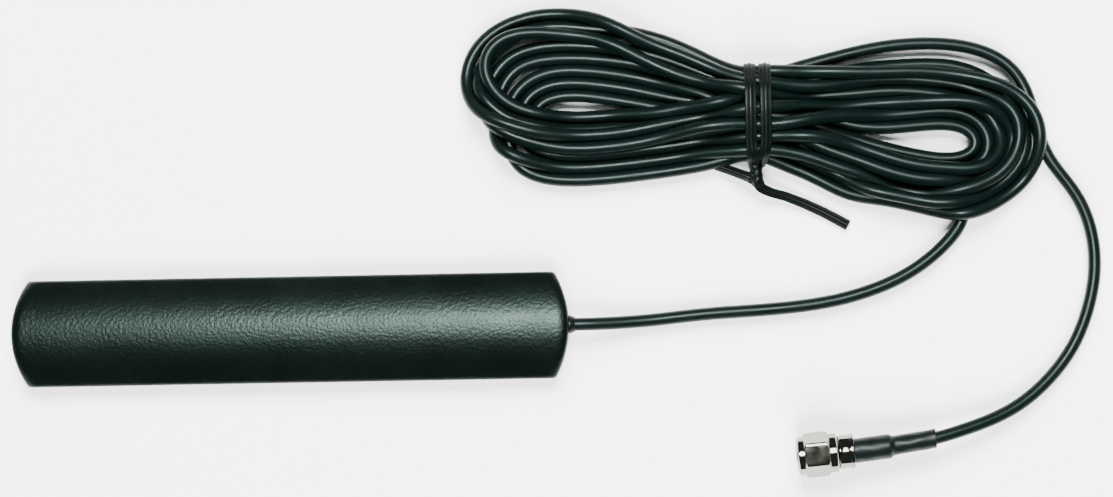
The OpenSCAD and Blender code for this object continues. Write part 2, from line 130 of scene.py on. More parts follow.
# Points listed along the strands: x, y, and the layer it lies in (0 = on the table).
NEAR_LEAD = [
    (57.4, 0, .87), (61, 0, .83), (65.5, .1, .62), (71, .4, .28), (77.5, .9, .06), (85, 1.7, 0),
    (93, 2.1, 0), (101, 2.6, 0), (110, 3.6, 0), (118.5, 5.6, 0), (127, 9.1, 0), (133.5, 13.8, 0),
    (137.6, 18.6, 0)]
TURNS = [
    # under the lower right strands and into the waist
    [(139.6, 23, 0), (138.6, 26.6, 0), (134.6, 28.6, 0), (128, 29.3, 0), (120, 31, 0),
     (112, 34, 0), (104, 37.5, 0), (97, 39.7, 0)],
    # left, innermost
    [(92, 40, 0), (86, 39.8, 0), (80, 39, 0), (74, 38.1, 0), (68, 37.3, 0), (62, 36.9, 0),
     (57, 37.2, 0), (53, 38.8, 0), (50.8, 41.8, 0), (50.8, 45, 0), (53, 47.6, 0), (57, 48.7, 0),
     (61, 48.3, 0), (65, 47, 0), (70, 45.9, 0), (75, 44.6, 0), (81, 43.3, 0), (88, 42.6, 0),
     (97, 42.3, 0)],
    # right, fourth from the outside
    [(101, 40.6, .1), (104, 38.3, .4), (108, 35.8, .7), (112, 34, .8), (116, 32.4, .9),
     (120, 31.1, .9), (125, 29.6, 1), (130, 28.5, 1), (135, 27.9, .7), (140, 28.4, .3),
     (145.2, 29.6, .1), (148.4, 32.8, 0), (149.3, 37, 0), (148, 41, .3), (144.6, 43.6, .8),
     (140, 44.6, 1.1), (135, 45.3, 1.2), (130, 45.5, 1.2), (122, 45.4, 1.3), (115, 44.9, 1.6),
     (108, 44, 1.9), (102, 43.4, 2.2), (97, 43.4, 2.3)],
    # left, outermost
    [(94, 43.2, 2), (87, 42.6, 1.7), (80, 41.6, 1.5), (74, 40.6, 1.3), (68, 39.7, 1.3),
     (61, 39.4, 1.8), (56, 39.7, 2.1), (51, 40.5, 2.2), (46, 42.1, 2.2), (42.5, 43.9, 2),
     (39.8, 46.5, 1.5), (38.1, 49.6, 1), (37.7, 53, .9), (38.7, 56.6, .9), (41, 59.6, .9),
     (44.5, 62, .9), (49, 63.3, .8), (54, 63.7, .7), (60, 63.1, .8), (65, 62, 1), (70, 60.2, 1.1),
     (75, 58, 1.3), (80, 55.7, 1.5), (85, 53.5, 1.7), (90, 51.4, 1.9), (94, 50.2, 2.1),
     (97, 49.3, 2.2)],
    # right, third from the outside
    [(100, 48.9, 2.1), (106, 48.4, 1.8), (115, 48.3, 1.5), (122, 48.4, 1.3), (130, 48.2, 1.2),
     (136, 47.7, 1.1), (141, 46.4, 1.1), (145.4, 44, 1.1), (148.6, 41, 1), (149.9, 37.4, 1),
     (149.4, 33.6, 1), (147, 30.2, 1), (143.4, 27.8, 1), (139.4, 26.4, 1), (135, 25.9, 1),
     (130.5, 26.2, 1), (126, 27, 1), (121.8, 28.2, 1), (117.4, 29.9, 1), (113, 31.7, 1),
     (106.4, 34, 1), (100.5, 35.2, 1), (97, 35.8, 1)],
    # left, along the lower edge
    [(93, 35.7, 1), (88, 35.2, .9), (80, 34.4, .8), (72, 33.6, .8), (66, 33.2, .8), (60, 33.1, .8),
     (55, 33.4, .8), (50, 34.2, .7), (45.8, 36, .4), (43.2, 38.8, .1), (42.4, 42.5, 0),
     (43, 46.5, 0), (44.2, 50, 0), (46, 52.8, 0), (49.5, 54.4, 0), (54, 55, 0), (60, 55, 0),
     (66, 54.6, 0), (70, 54.1, 0), (75, 53, .2), (80, 51.4, .5), (85, 49.2, .9), (90, 47.2, 1),
     (94, 45.6, 1), (97, 44.8, 1)],
    # right, innermost, round the hole
    [(101, 44, 1), (106, 42.6, .9), (112, 41.2, .5), (118, 40.6, .2), (124, 40.5, 0),
     (130, 40.6, 0), (134, 40.7, 0), (138, 40.8, 0), (141.4, 39.6, 0), (142.9, 36.3, 0),
     (141.4, 33.0, 0), (138, 31.7, 0), (134.6, 31.9, 0), (131, 32.4, .1), (126, 33.6, .3),
     (121, 35.4, .5), (116, 37.2, .8), (110, 39.4, 1), (104, 41.2, 1), (97, 42, 1)],
    # left, lowest strand of all
    [(93, 43.6, .8), (88, 46.2, .5), (84, 48, .2), (78, 50, .1), (72, 51.5, 0), (66, 52.2, 0),
     (60, 52.4, 0), (54, 51.8, 0), (49.8, 50, 0), (47, 47.2, 0), (45.4, 43.8, 0),
     (44.6, 40.2, 0), (44.8, 36.6, 0), (46.8, 33.3, 0), (50.5, 31.6, 0), (55, 31, 0),
     (60, 30.9, 0), (66, 31.1, 0), (72, 31.9, 0), (80, 33.2, 0), (88, 34.2, 0), (93, 34.6, 0),
     (97, 34.9, 0)],
    # right, outermost
    [(101, 34.2, 0), (105, 32.9, 0), (110, 31.3, 0), (115, 29.5, 0), (121, 27.1, 0), (126, 25, 0),
     (131, 23.5, .5), (135, 22.8, 1.1), (139, 22.4, 1.4), (143, 23.2, 1.2), (148, 25.6, .6),
     (152.2, 29, .5), (154.7, 33, .8), (155.3, 37, 1), (154.4, 41, 1), (151.6, 44.7, 1),
     (147, 47.6, 1.1), (142, 49.5, 1.1), (138, 50.1, 1), (132, 50.6, 1), (122, 50.9, 1),
     (114, 50.8, 1), (108, 50.9, 1), (102, 50.9, 1), (97, 50.8, 1)],
    # left, second from the outside, back beneath the outer strands
    [(94, 51.4, .8), (92, 52, .5), (88, 53.5, .2), (84, 55.5, 0), (80, 57.3, 0), (76, 58.8, 0),
     (72, 60.2, 0), (65, 61.8, 0), (60, 62.3, 0), (54, 62.2, 0), (49, 61, 0), (44.8, 58.6, 0),
     (41.6, 55.4, 0), (40, 51.8, 0), (39.8, 48, .3), (41, 44.6, .9), (44, 42.2, 1.2),
     (49, 41, 1.2), (55, 40.3, 1.1), (62, 40.2, .7), (70, 40.4, .2), (78, 40.6, 0), (86, 40.2, 0),
     (92, 38.8, 0), (97, 37, 0)],
    # right, second from the outside
    [(101, 35.6, 0), (105, 33.9, .2), (110, 31.9, .6), (114, 29.9, .8), (118.2, 27.7, .9),
     (124, 25.8, 1), (130, 24.4, 1), (135, 23.9, 1), (139.5, 24.2, 1), (144, 25.6, .9),
     (148.2, 28.2, .6), (151.2, 32, .3), (151.8, 36, .1), (151, 40, .1), (149, 43.8, .1),
     (146, 47, .1), (143, 49.6, 0), (138, 51.3, 0), (132.5, 51.8, 0), (127, 51.6, 0), (122, 51, 0),
     (114, 49.9, 0), (106, 48.6, .3), (100, 47.8, .8), (97, 47.5, 1)],
    # left, third from the outside
    [(93, 45.4, 2.4), (88, 44.4, 2.2), (80, 43.2, 1.3), (74, 42.5, 1.1), (67.5, 42, 1), (60, 42.1, 1),
     (55, 42.6, 1), (50, 43.8, 1), (46, 45.5, 1.2), (42.6, 47.8, 1.2), (40.5, 50.5, 1.2),
     (40.3, 53.8, 1.1), (41.8, 57, 1), (44.8, 59.3, 1), (49, 60.7, .9), (54, 60.9, .9),
     (60, 60, 1.1), (65, 58.5, 1.5), (70, 56.3, 1.9), (75, 53.6, 2), (80, 50.9, 2.1),
     (85, 48.7, 2.2), (90, 47.1, 2.2), (94, 46.5, 2.2), (97, 46.2, 2.2)],
    # right, fifth from the outside
    [(100, 45.3, 2.2), (108, 45.6, 1.8), (113, 46.2, 1.2), (118, 46.9, .5), (124, 47.2, .1),
     (130, 47, 0), (136, 46.2, .3), (141, 44.9, .7), (145.2, 42, 1), (147.1, 38, 1), (146.6, 34.2, 1),
     (143.8, 31.3, 1), (140.4, 29.9, 1), (136.5, 29.8, .9), (132, 30.3, 1), (127, 31.6, 1),
     (120, 33.6, 1), (114, 35.5, 1.1), (108.4, 36.9, 1.2), (103, 37.8, 1.2), (97, 38.4, 1.2)],
    # left, second from the inside
    [(94, 37.9, 1.3), (88, 37.3, 1.2), (80, 36.5, .9), (74, 35.9, .7), (68, 35.2, .3),
     (62, 34.8, 0), (56, 34.6, 0), (51.4, 35.8, 0), (48.6, 38.6, 0), (47.7, 42, 0), (48.4, 45.8, 0),
     (51, 48.6, 0), (55, 49.4, 0), (60, 49.9, 0), (66, 49.5, 0), (72, 48.4, 0), (79, 47, .1),
     (86, 45.7, .3), (92, 45.3, .2), (97, 45.2, 0)],
    # right, second from the inside
    [(102, 42.5, 0), (107, 38.8, 0), (112, 35.6, 0), (118, 33.3, 0), (124, 31.4, 0), (130, 30, 0),
     (135, 29.4, 0), (140.4, 30, 0), (144.6, 32, 0), (146.5, 36.2, 0), (145, 40.2, .2),
     (140.4, 41.5, .8), (136, 42.1, 1), (132, 42.2, 1), (126, 42.2, 1), (117, 42, 1.3),
     (108.5, 41.3, 1.8), (100, 40.6, 2.2), (97, 40.8, 2.2)],
    # left, fourth from the outside
    [(94, 41, 2), (88, 40.4, 1.7), (80, 38.9, 1.4), (75, 38, 1.2), (69, 36.9, 1.1), (63, 36.2, 1),
     (58, 36.2, 1), (53, 37.1, .9), (48, 38.6, .8), (44, 40.5, .6), (41.6, 43.3, .3),
     (41.4, 46.6, .1), (42, 50, 0), (43.6, 53.4, 0), (46.8, 56, 0), (51, 57.3, 0), (56, 57.7, 0),
     (61, 57.5, 0), (66, 57.1, .1), (71, 56.4, .3), (76, 55, .4), (80, 53.4, .5), (85, 51.4, .6),
     (90, 50, .5), (94, 50, .2), (97, 50.6, 0)],
]
FAR_LEAD = [
    (100, 51.3, 0), (103.5, 52, 0), (108, 53, 0), (112.7, 54.2, 0), (118, 55.4, 0), (123, 56.3, 0),
    (129, 56.8, 0), (135, 56.7, 0), (141, 55.8, 0), (146.4, 53.8, 0), (150.4, 50.6, 0),
    (152.5, 46.6, 0), (153.9, 41.8, 0), (154.9, 37, 0), (156.2, 33, 0), (159, 29.4, 0),
    (162.6, 24.4, 0), (164.9, 17.8, 0), (165.6, 10.6, 0), (164.4, 3.2, 0), (160.9, -5.9, 0),
    (155.4, -12.9, .15), (149.4, -18, .4), (142.4, -21.4, .75), (137.2, -23.0, 1.05)]

CURVE_PARTS = 24                # points worked out between two of the drawn ones
STEP_MM = 1.5                   # spacing of the points that are let settle
SETTLE_ROUNDS = 200
SEARCH_EVERY = 10               # rounds between two searches for strands that are close
SEARCH_MM = CABLE_MM * 1.8      # how close that is
SKIP_MM = CABLE_MM * 1.25       # points nearer than this along the lead never push each other
CONTACT_PASSES = 6
CONTACT_SHARE = 0.7             # share of an overlap that one pass takes away
CROWD_POWER = 0.6               # how far a point's many pushes are averaged; 1 is in full
HELD_FIRST, HELD_LAST = 4, 6    # points held in the bushing and in the sleeve
HOLD = 1e4                      # how firmly they are held
DRAWN_BEND_MM = 3               # length over which the drawn route is evened out beforehand
BEND_MM = 2.4                   # length over which the cable evens out a kink
PULL = 0.15                     # how firmly a strand keeps to its drawn place
LEAD_PULL = 2.0                 # the same for the two free leads
RISE_PULL, LEAD_RISE_PULL = 0.02, 0.5   # the same two for their height
NEAR_FREE_MM, FAR_FREE_MM = 80, 150
SINK_MM = 0.12                  # how far gravity would drop it in one round
CARRY = 0.97                    # how much of the last round's push is kept
TIE_X = (93.8, 100.4)           # inside of the twist tie
TIE_Y = (33.05, 52.75)
TIE_Z = (0.62, 8.1)
BUNDLE_Y = (30, 55)             # a strand beyond these doesn't pass through the tie


def spaced(points, step):
    """Points a fixed step apart on the smooth curve through the given ones."""
    p = np.array(points, float)
    p = np.vstack([2 * p[0] - p[1], p, 2 * p[-1] - p[-2]])
    t = np.linspace(0, 1, CURVE_PARTS, endpoint=False)[:, None]
    fine = [0.5 * (2 * b + (c - a) * t + (2 * a - 5 * b + 4 * c - d) * t ** 2
                   + (3 * b - a - 3 * c + d) * t ** 3)
            for a, b, c, d in zip(p[:-3], p[1:-2], p[2:-1], p[3:])]
    fine = np.vstack(fine + [p[-2][None]])
    along = np.r_[0, np.cumsum(np.linalg.norm(np.diff(fine, axis=0), axis=1))]
    even = np.linspace(0, along[-1], int(round(along[-1] / step)) + 1)
    return np.stack([np.interp(even, along, fine[:, k]) for k in range(3)], 1)


def drawn_route():
    strands = NEAR_LEAD + [p for turn in TURNS for p in turn] + FAR_LEAD
    route = [(x, y, RADIUS_MM + LAYER_MM * layer) for x, y, layer in strands]
    route[0] = EXIT_MM
    route += [tuple(plug_point(s, sleeve_bend(s)))
              for s in (SLEEVE_END_MM, SLEEVE_END_MM - 4, SLEEVE_END_MM - 8)]
    return spaced(route, STEP_MM)


def smooth_solve(weight, stiff, right):
    """Solves (weight + stiff * bending) y = right, by factoring its five bands.

    Bending is the sum of squared second differences along the points.
    """
    n = len(weight)
    middle = weight + stiff * np.r_[1, 5, np.full(n - 4, 6), 5, 1]
    beside = stiff * np.r_[-2, np.full(n - 3, -4), -2]
    pivot, one, two = np.zeros(n), np.zeros(n), np.zeros(n)
    for i in range(n):
        pivot[i] = middle[i]
        if i > 0:
            pivot[i] -= pivot[i - 1] * one[i - 1] ** 2
        if i > 1:
            pivot[i] -= pivot[i - 2] * two[i - 2] ** 2
        if i < n - 1:
            one[i] = (beside[i] - (pivot[i - 1] * one[i - 1] * two[i - 1] if i else 0)) / pivot[i]
        if i < n - 2:
            two[i] = stiff / pivot[i]
    y = np.array(right, float)
    for i in range(1, n):
        y[i] -= one[i - 1] * y[i - 1] + (two[i - 2] * y[i - 2] if i > 1 else 0)
    for i in range(n - 1, -1, -1):
        y[i] /= pivot[i]
        if i < n - 1:
            y[i] -= one[i] * y[i + 1]
        if i < n - 2:
            y[i] -= two[i] * y[i + 2]
    return y


def settle(drawn):
    """Lets the drawn route lie down: strands rest on each other, inside the tie and on the table.

    Each round first moves overlapping strands apart, then finds the smoothest curve near both
    the moved points and the drawn ones.
    """
    n = len(drawn)
    held = np.zeros(n, bool)
    held[:HELD_FIRST] = held[-HELD_LAST:] = True
    place = np.arange(n) * STEP_MM
    free = (place < NEAR_FREE_MM) | (place > place[-1] - FAR_FREE_MM)
    weight = np.where(held, HOLD, 1.0)
    goal = smooth_solve(weight, (DRAWN_BEND_MM / STEP_MM) ** 4, weight[:, None] * drawn)
    flat_pull = np.where(held, HOLD, np.where(free, LEAD_PULL, PULL))
    rise_pull = np.where(held, HOLD, np.where(free, LEAD_RISE_PULL, RISE_PULL))
    stiff = (BEND_MM / STEP_MM) ** 4 * (PULL + 1)
    flat_solve = smooth_solve(flat_pull + 1, stiff, np.eye(n))
    rise_solve = smooth_solve(rise_pull + 1, stiff / 2, np.eye(n))
    rise_goal = np.where(free | held, goal[:, 2], RADIUS_MM)

    far_apart = int(math.ceil(SKIP_MM / STEP_MM)) + 1
    first, other = np.triu_indices(n, far_apart)
    x, push = goal.copy(), np.zeros_like(goal)
    for turn in range(SETTLE_ROUNDS):
        if turn % SEARCH_EVERY == 0:
            near = ((x[first] - x[other]) ** 2).sum(1) < SEARCH_MM ** 2
            pair = first[near], other[near]
        moved = x + push
        moved[:, 2] -= SINK_MM
        for _ in range(CONTACT_PASSES):
            moved = apart(moved, *pair)
            moved[:, 2] = np.maximum(moved[:, 2], RADIUS_MM)
            tied = (moved[:, 0] > TIE_X[0]) & (moved[:, 0] < TIE_X[1]) \
                & (moved[:, 1] > BUNDLE_Y[0]) & (moved[:, 1] < BUNDLE_Y[1])
            moved[tied, 2] = np.clip(moved[tied, 2], TIE_Z[0] + RADIUS_MM, TIE_Z[1] - RADIUS_MM)
            moved[tied, 1] = np.clip(moved[tied, 1], TIE_Y[0] + RADIUS_MM, TIE_Y[1] - RADIUS_MM)
            moved[held] = goal[held]
        push = (push + x - moved) * CARRY
        aim = moved - push
        x = np.column_stack([goal[:, 0] + flat_solve @ (aim[:, 0] - goal[:, 0]),
                             goal[:, 1] + flat_solve @ (aim[:, 1] - goal[:, 1]),
                             rise_solve @ (rise_pull * rise_goal + aim[:, 2])])
        x = np.round(x, 4)
    return x


def apart(x, first, other):
    """Moves each two points that are less than a diameter apart away from each other."""
    gap = x[other] - x[first]
    far = np.linalg.norm(gap, axis=1) + 1e-9
    hit = far < CABLE_MM
    i, j = first[hit], other[hit]
    shift = gap[hit] * ((CABLE_MM - far[hit]) / (2 * far[hit]))[:, None]
    n = len(x)
    total = np.stack([np.bincount(j, shift[:, k], n) - np.bincount(i, shift[:, k], n)
                      for k in range(3)], 1)
    count = np.bincount(i, minlength=n) + np.bincount(j, minlength=n)
    return x + total / np.maximum(count, 1)[:, None] ** CROWD_POWER * CONTACT_SHARE


# ---------------------------------------------------------------- materials
NOISE_LOW, NOISE_HIGH = 0.3, 0.7    # the range that most of a noise's values lie in


def shader(name, colour, rough, metal=0.0, grain_mm=0.3, detail=3, bump=0.1, depth_mm=0.02,
           vary=0.05, tint=None, tint_mm=8.0, **sockets):
    """A surface with grain: noise moves its roughness and its height, and tint its colour."""
    mat = bpy.data.materials.new(name)
    mat.use_nodes = True
    nodes, links = mat.node_tree.nodes, mat.node_tree.links
    surface = nodes["Principled BSDF"]
    surface.inputs["Base Color"].default_value = (*colour, 1)
    surface.inputs["Metallic"].default_value = metal
    for key, value in sockets.items():
        surface.inputs[key.replace("_", " ")].default_value = value
    where = nodes.new("ShaderNodeTexCoord")
    grain = nodes.new("ShaderNodeTexNoise")
    grain.inputs["Scale"].default_value = 1 / (grain_mm * MM)
    grain.inputs["Detail"].default_value = detail
    links.new(where.outputs["Object"], grain.inputs["Vector"])
    worn = nodes.new("ShaderNodeTexNoise")
    worn.inputs["Scale"].default_value = 1 / (tint_mm * MM)
    worn.inputs["Detail"].default_value = 4
    links.new(where.outputs["Object"], worn.inputs["Vector"])
    spread = nodes.new("ShaderNodeMapRange")
    spread.inputs["From Min"].default_value = NOISE_LOW
    spread.inputs["From Max"].default_value = NOISE_HIGH
    spread.inputs["To Min"].default_value = max(0.02, rough - vary)
    spread.inputs["To Max"].default_value = min(1.0, rough + vary)
    links.new(worn.outputs["Fac"], spread.inputs["Value"])
    links.new(spread.outputs["Result"], surface.inputs["Roughness"])
    if bump:
        raised = nodes.new("ShaderNodeBump")
        raised.inputs["Strength"].default_value = bump
        raised.inputs["Distance"].default_value = depth_mm * MM
        links.new(grain.outputs["Fac"], raised.inputs["Height"])
        links.new(raised.outputs["Normal"], surface.inputs["Normal"])
    if tint:
        mix = nodes.new("ShaderNodeMix")
        mix.data_type = "RGBA"
        mix.inputs["A"].default_value, mix.inputs["B"].default_value = (*colour, 1), (*tint, 1)
        links.new(worn.outputs["Fac"], mix.inputs["Factor"])
        links.new(mix.outputs["Result"], surface.inputs["Base Color"])
    return mat


FINISH = {
    "housing": shader("housing", (0.0002, 0.0008, 0.0006), 0.37, grain_mm=0.65, detail=1,
                      bump=1.0, depth_mm=0.06, vary=0.03, tint=(0.0004, 0.0012, 0.001),
                      Specular_IOR_Level=0.18, Specular_Tint=(0.74, 1.0, 0.93, 1)),
    "inner_plastic": shader("inner_plastic", (0.03, 0.03, 0.031), 0.5, bump=0.2),
    "board": shader("board", (0.02, 0.13, 0.06), 0.3, bump=0.1, tint=(0.03, 0.16, 0.08)),
    "copper": shader("copper", (0.80, 0.42, 0.26), 0.3, 1.0, grain_mm=0.1),
    "solder": shader("solder", (0.66, 0.66, 0.68), 0.25, 1.0, grain_mm=0.4, bump=0.4),
    "foam": shader("foam", (0.05, 0.05, 0.052), 0.9, grain_mm=0.25, bump=0.8, depth_mm=0.1),
    "crimp_metal": shader("crimp_metal", (0.70, 0.68, 0.62), 0.3, 1.0, grain_mm=0.2),
    "bushing": shader("bushing", (0.0008, 0.0022, 0.0018), 0.45, bump=0.2,
                      Specular_IOR_Level=0.2),
    "adhesive_tape": shader("adhesive_tape", (0.02, 0.02, 0.02), 0.8, grain_mm=0.15, bump=0.6),
    "liner": shader("liner", (0.80, 0.74, 0.58), 0.55, grain_mm=0.12, bump=0.35,
                    tint=(0.72, 0.66, 0.50), tint_mm=1.2),
    "cable_jacket": shader("cable_jacket", (0.0008, 0.0025, 0.0021), 0.36, grain_mm=0.5, bump=0.08,
                           vary=0.05, tint=(0.0011, 0.0031, 0.0027), tint_mm=5,
                           Specular_IOR_Level=0.14, Specular_Tint=(0.85, 1.0, 0.97, 1)),
    "braid": shader("braid", (0.72, 0.70, 0.66), 0.35, 1.0, grain_mm=0.15, bump=0.8),
    "dielectric": shader("dielectric", (0.86, 0.86, 0.84), 0.4, Subsurface_Weight=0.2),
    "conductor": shader("conductor", (0.80, 0.48, 0.30), 0.28, 1.0, grain_mm=0.15),
    "tie_strip": shader("tie_strip", (0.0003, 0.0014, 0.0011), 0.42, grain_mm=0.35, bump=0.3,
                        vary=0.06, Specular_IOR_Level=0.14),
    "tie_wire": shader("tie_wire", (0.50, 0.50, 0.52), 0.35, 1.0, grain_mm=0.1),
    "nickel_plate": shader("nickel_plate", (0.26, 0.25, 0.215), 0.05, 1.0, grain_mm=0.5,
                           bump=0.045, vary=0.02, tint=(0.22, 0.21, 0.18), tint_mm=2),
    "spring_metal": shader("spring_metal", (0.62, 0.52, 0.34), 0.3, 1.0, grain_mm=0.2),
    "gasket": shader("gasket", (0.42, 0.05, 0.03), 0.5, bump=0.15),
    "insulator": shader("insulator", (0.88, 0.88, 0.86), 0.42, Subsurface_Weight=0.15),
    "gold_plate": shader("gold_plate", (0.92, 0.68, 0.30), 0.18, 1.0, grain_mm=0.2, bump=0.05),
    "heat_shrink": shader("heat_shrink", (0.0006, 0.0021, 0.0018), 0.42, grain_mm=0.6, bump=0.2,
                          vary=0.05, tint=(0.001, 0.003, 0.0026), tint_mm=3,
                          Specular_IOR_Level=0.2),
}


# ---------------------------------------------------------------- mesh helpers
def add_object(name, data, slot, body, *stands_for):
    piece = bpy.data.objects.new(name, data)
    bpy.context.scene.collection.objects.link(piece)
    data.materials.clear()
    data.materials.append(FINISH[slot])
    if stands_for:
        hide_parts(*stands_for)
    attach(piece, body)
    return piece


def mesh_of(name, points_mm, faces, sharp_degrees=38):
    mesh = bpy.data.meshes.new(name)
    mesh.from_pydata([tuple(float(c) * MM for c in p) for p in points_mm], [], faces)
    bm = bmesh.new()
    bm.from_mesh(mesh)
    bmesh.ops.remove_doubles(bm, verts=bm.verts, dist=1e-7)
    bmesh.ops.recalc_face_normals(bm, faces=bm.faces)
    bm.to_mesh(mesh)
    bm.free()
    mesh.polygons.foreach_set("use_smooth", [True] * len(mesh.polygons))
    mesh.set_sharp_from_angle(angle=math.radians(sharp_degrees))
    return mesh


def ring_faces(rings, around, closed=False):
    """Quads between rings of points; the ends are capped, or joined where the rings close."""
    faces = []
    for i in range(rings if closed else rings - 1):
        a, b = i * around, (i + 1) % rings * around
        faces += [(a + k, a + (k + 1) % around, b + (k + 1) % around, b + k) for k in range(around)]
    if not closed:
        faces += [tuple(range(around))[::-1],
                  tuple(range((rings - 1) * around, rings * around))]
    return faces


def eased(profile, cut=0.08, steps=3):
    """The closed outline with each corner rounded, cut back by less than half its sides."""
    points, out = [np.array(p, float) for p in profile], []
    for before, corner, after in zip(points[-1:] + points[:-1], points, points[1:] + points[:1]):
        ends = []
        for side in (before, after):
            away = side - corner
            far = np.linalg.norm(away)
            ends.append(corner + away / far * min(cut, far * 0.45))
        for t in np.linspace(0, 1, steps + 1):
            out.append((1 - t) ** 2 * ends[0] + 2 * t * (1 - t) * corner + t * t * ends[1])
    return out


def divided(outline, step):
    """The closed outline with its long sides cut into short ones."""
    out = []
    for p, q in zip(outline, outline[1:] + outline[:1]):
        parts = max(1, int(math.ceil(np.linalg.norm(q - p) / step)))
        out += [p + (q - p) * k / parts for k in range(parts)]
    return out


PLUG_AXIS = (PLUG_TIP_MM, PLUG_ALONG, PLUG_ACROSS)
EXIT_AXIS = (np.array((0.0, 0.0, EXIT_MM[2])), np.array((1.0, 0, 0)), np.array((0, 1.0, 0)))


def turned(profile, axis=PLUG_AXIS, shape=None, bend=None, around=96, cut=0.08, step=2.0):
    """Points and faces of a turned piece, from its closed outline of places s and radii r."""
    origin, along, across = axis
    outline = divided(eased(profile, cut), step)
    points = []
    for s, r in outline:
        middle = origin + along * s + across * (bend(s) if bend else 0.0)
        for k in range(around):
            angle = 2 * math.pi * k / around
            radius = shape(s, r, angle) if shape else r
            points.append(middle + radius * (across * math.cos(angle) + PLUG_UP * math.sin(angle)))
    return points, ring_faces(len(outline), around, closed=True)


# ---------------------------------------------------------------- the lead
route = settle(drawn_route())


def make_lead():
    data = bpy.data.curves.new("coax_lead", "CURVE")
    data.dimensions = "3D"
    data.bevel_depth = RADIUS_MM * MM
    data.bevel_resolution = 5
    data.resolution_u = 2
    data.use_fill_caps = True
    line = data.splines.new("NURBS")
    line.points.add(len(route) - 1)
    line.points.foreach_set("co", np.column_stack([route * MM, np.ones(len(route))]).ravel())
    line.order_u = 4
    line.use_endpoint_u = True
    return add_object("coax_lead", data, "cable_jacket", "antenna",
                      "cable_near_lead", "cable_hank", "cable_top_loop", "cable_far_lead",
                      "plug_jacket_stub")


lead = make_lead()

# ---------------------------------------------------------------- bar
HALF_LENGTH, HALF_WIDTH, END_RADIUS = 57.5, 11.0, 22.0
ARC_X = HALF_LENGTH - END_RADIUS
CROWN_TOP, CROWN_RADIUS, CORNER = 6.5, 20.0, 1.2
FLOOR_Z, WALL, SKIN = 1.0, 1.1, 0.9
CHAMFER, CHAMFER_RISE = 0.15, 0.25
FAR_OFF = 99                    # no end near: the edge's rounding is nil
END_BAND, END_DROP = 2.2, 1.1
SIDE_BAND, SIDE_DROP = 0.6, 0.4


def half_length_at(y, inset):
    """Distance from the middle to the bowed end at this y, round the upright corner too."""
    end, side, corner = END_RADIUS - inset, HALF_WIDTH - inset, max(CORNER - inset, 0.15)
    reach = end - corner
    centre_y = side - corner
    centre_x = ARC_X + math.sqrt(reach ** 2 - centre_y ** 2)
    turn_y = end * centre_y / reach
    if abs(y) <= turn_y:
        return ARC_X + math.sqrt(end ** 2 - y ** 2)
    return centre_x + math.sqrt(max(0.0, corner ** 2 - (abs(y) - centre_y) ** 2))


def quarter(distance, width, drop):
    """Height lost to a rounded edge, at this distance in from it."""
    t = 1 - min(max(distance, 0.0), width) / width
    return drop * (1 - math.sqrt(max(0.0, 1 - t * t)))


def crown(x, y, inset, sink):
    """Height of the domed top at this point, of the layer this far in and down."""
    z = CROWN_TOP - CROWN_RADIUS + math.sqrt((CROWN_RADIUS - sink) ** 2 - y * y)
    end, side = FAR_OFF, HALF_WIDTH - inset - abs(y)
    if abs(x) > ARC_X:
        end = END_RADIUS - inset - math.hypot(abs(x) - ARC_X, y)
    return z - quarter(end, END_BAND, END_DROP) - quarter(side, SIDE_BAND, SIDE_DROP)


def shell_layer(inset, sink):
    """Rows of points over the domed top, denser towards its edges."""
    in_from_edge = [0, .015, .06, .14, .25, .4, .6, .85, 1.15, 1.5, 1.85, 2.2, 2.8, 4, 8, 16, 28, 42]
    in_from_side = [0, .01, .04, .09, .16, .26, .4, .6, .85, 1.2, 1.7, 2.3, 3, 4, 5, 6, 7, 8, 9]
    side = HALF_WIDTH - inset
    ys = [-side + d for d in in_from_side if d < side] + [0.0]
    ys += [-y for y in ys[-2::-1]]
    rows = []
    for y in ys:
        reach = half_length_at(y, inset)
        xs = [-reach + d for d in in_from_edge] + [0.0] + [reach - d for d in in_from_edge[::-1]]
        rows.append([(x, y, crown(x, y, inset, sink)) for x in xs])
    return rows


def edge_loop(rows):
    """The outermost points of the rows, once round."""
    return rows[0] + [r[-1] for r in rows[1:-1]] + rows[-1][::-1] + [r[0] for r in rows[-2:0:-1]]


def make_housing():
    outer, inner = shell_layer(0, 0), shell_layer(WALL, SKIN)
    points, faces = [], []
    for rows in (outer, inner):
        base, wide = len(points), len(rows[0])
        points += [p for row in rows for p in row]
        faces += [(base + r * wide + c, base + r * wide + c + 1,
                   base + (r + 1) * wide + c + 1, base + (r + 1) * wide + c)
                  for r in range(len(rows) - 1) for c in range(wide - 1)]
    rim = edge_loop(outer)
    chamfer = edge_loop(shell_layer(CHAMFER, 0))
    loops = [rim,
             [(x, y, FLOOR_Z + CHAMFER_RISE) for x, y, _ in rim],
             [(x, y, FLOOR_Z) for x, y, _ in chamfer]]
    inside = edge_loop(inner)
    loops += [[(x, y, FLOOR_Z) for x, y, _ in inside], inside]
    around = len(rim)
    # each loop is laid over the one before, point for point
    start = len(points)
    points += [p for loop in loops for p in loop]
    for a in range(len(loops) - 1):
        faces += [(start + a * around + k, start + a * around + (k + 1) % around,
                   start + (a + 1) * around + (k + 1) % around, start + (a + 1) * around + k)
                  for k in range(around)]
    data = mesh_of("housing_shell", points, faces)
    return add_object("housing_shell", data, "housing", "antenna", "top_cover")


housing = make_housing()

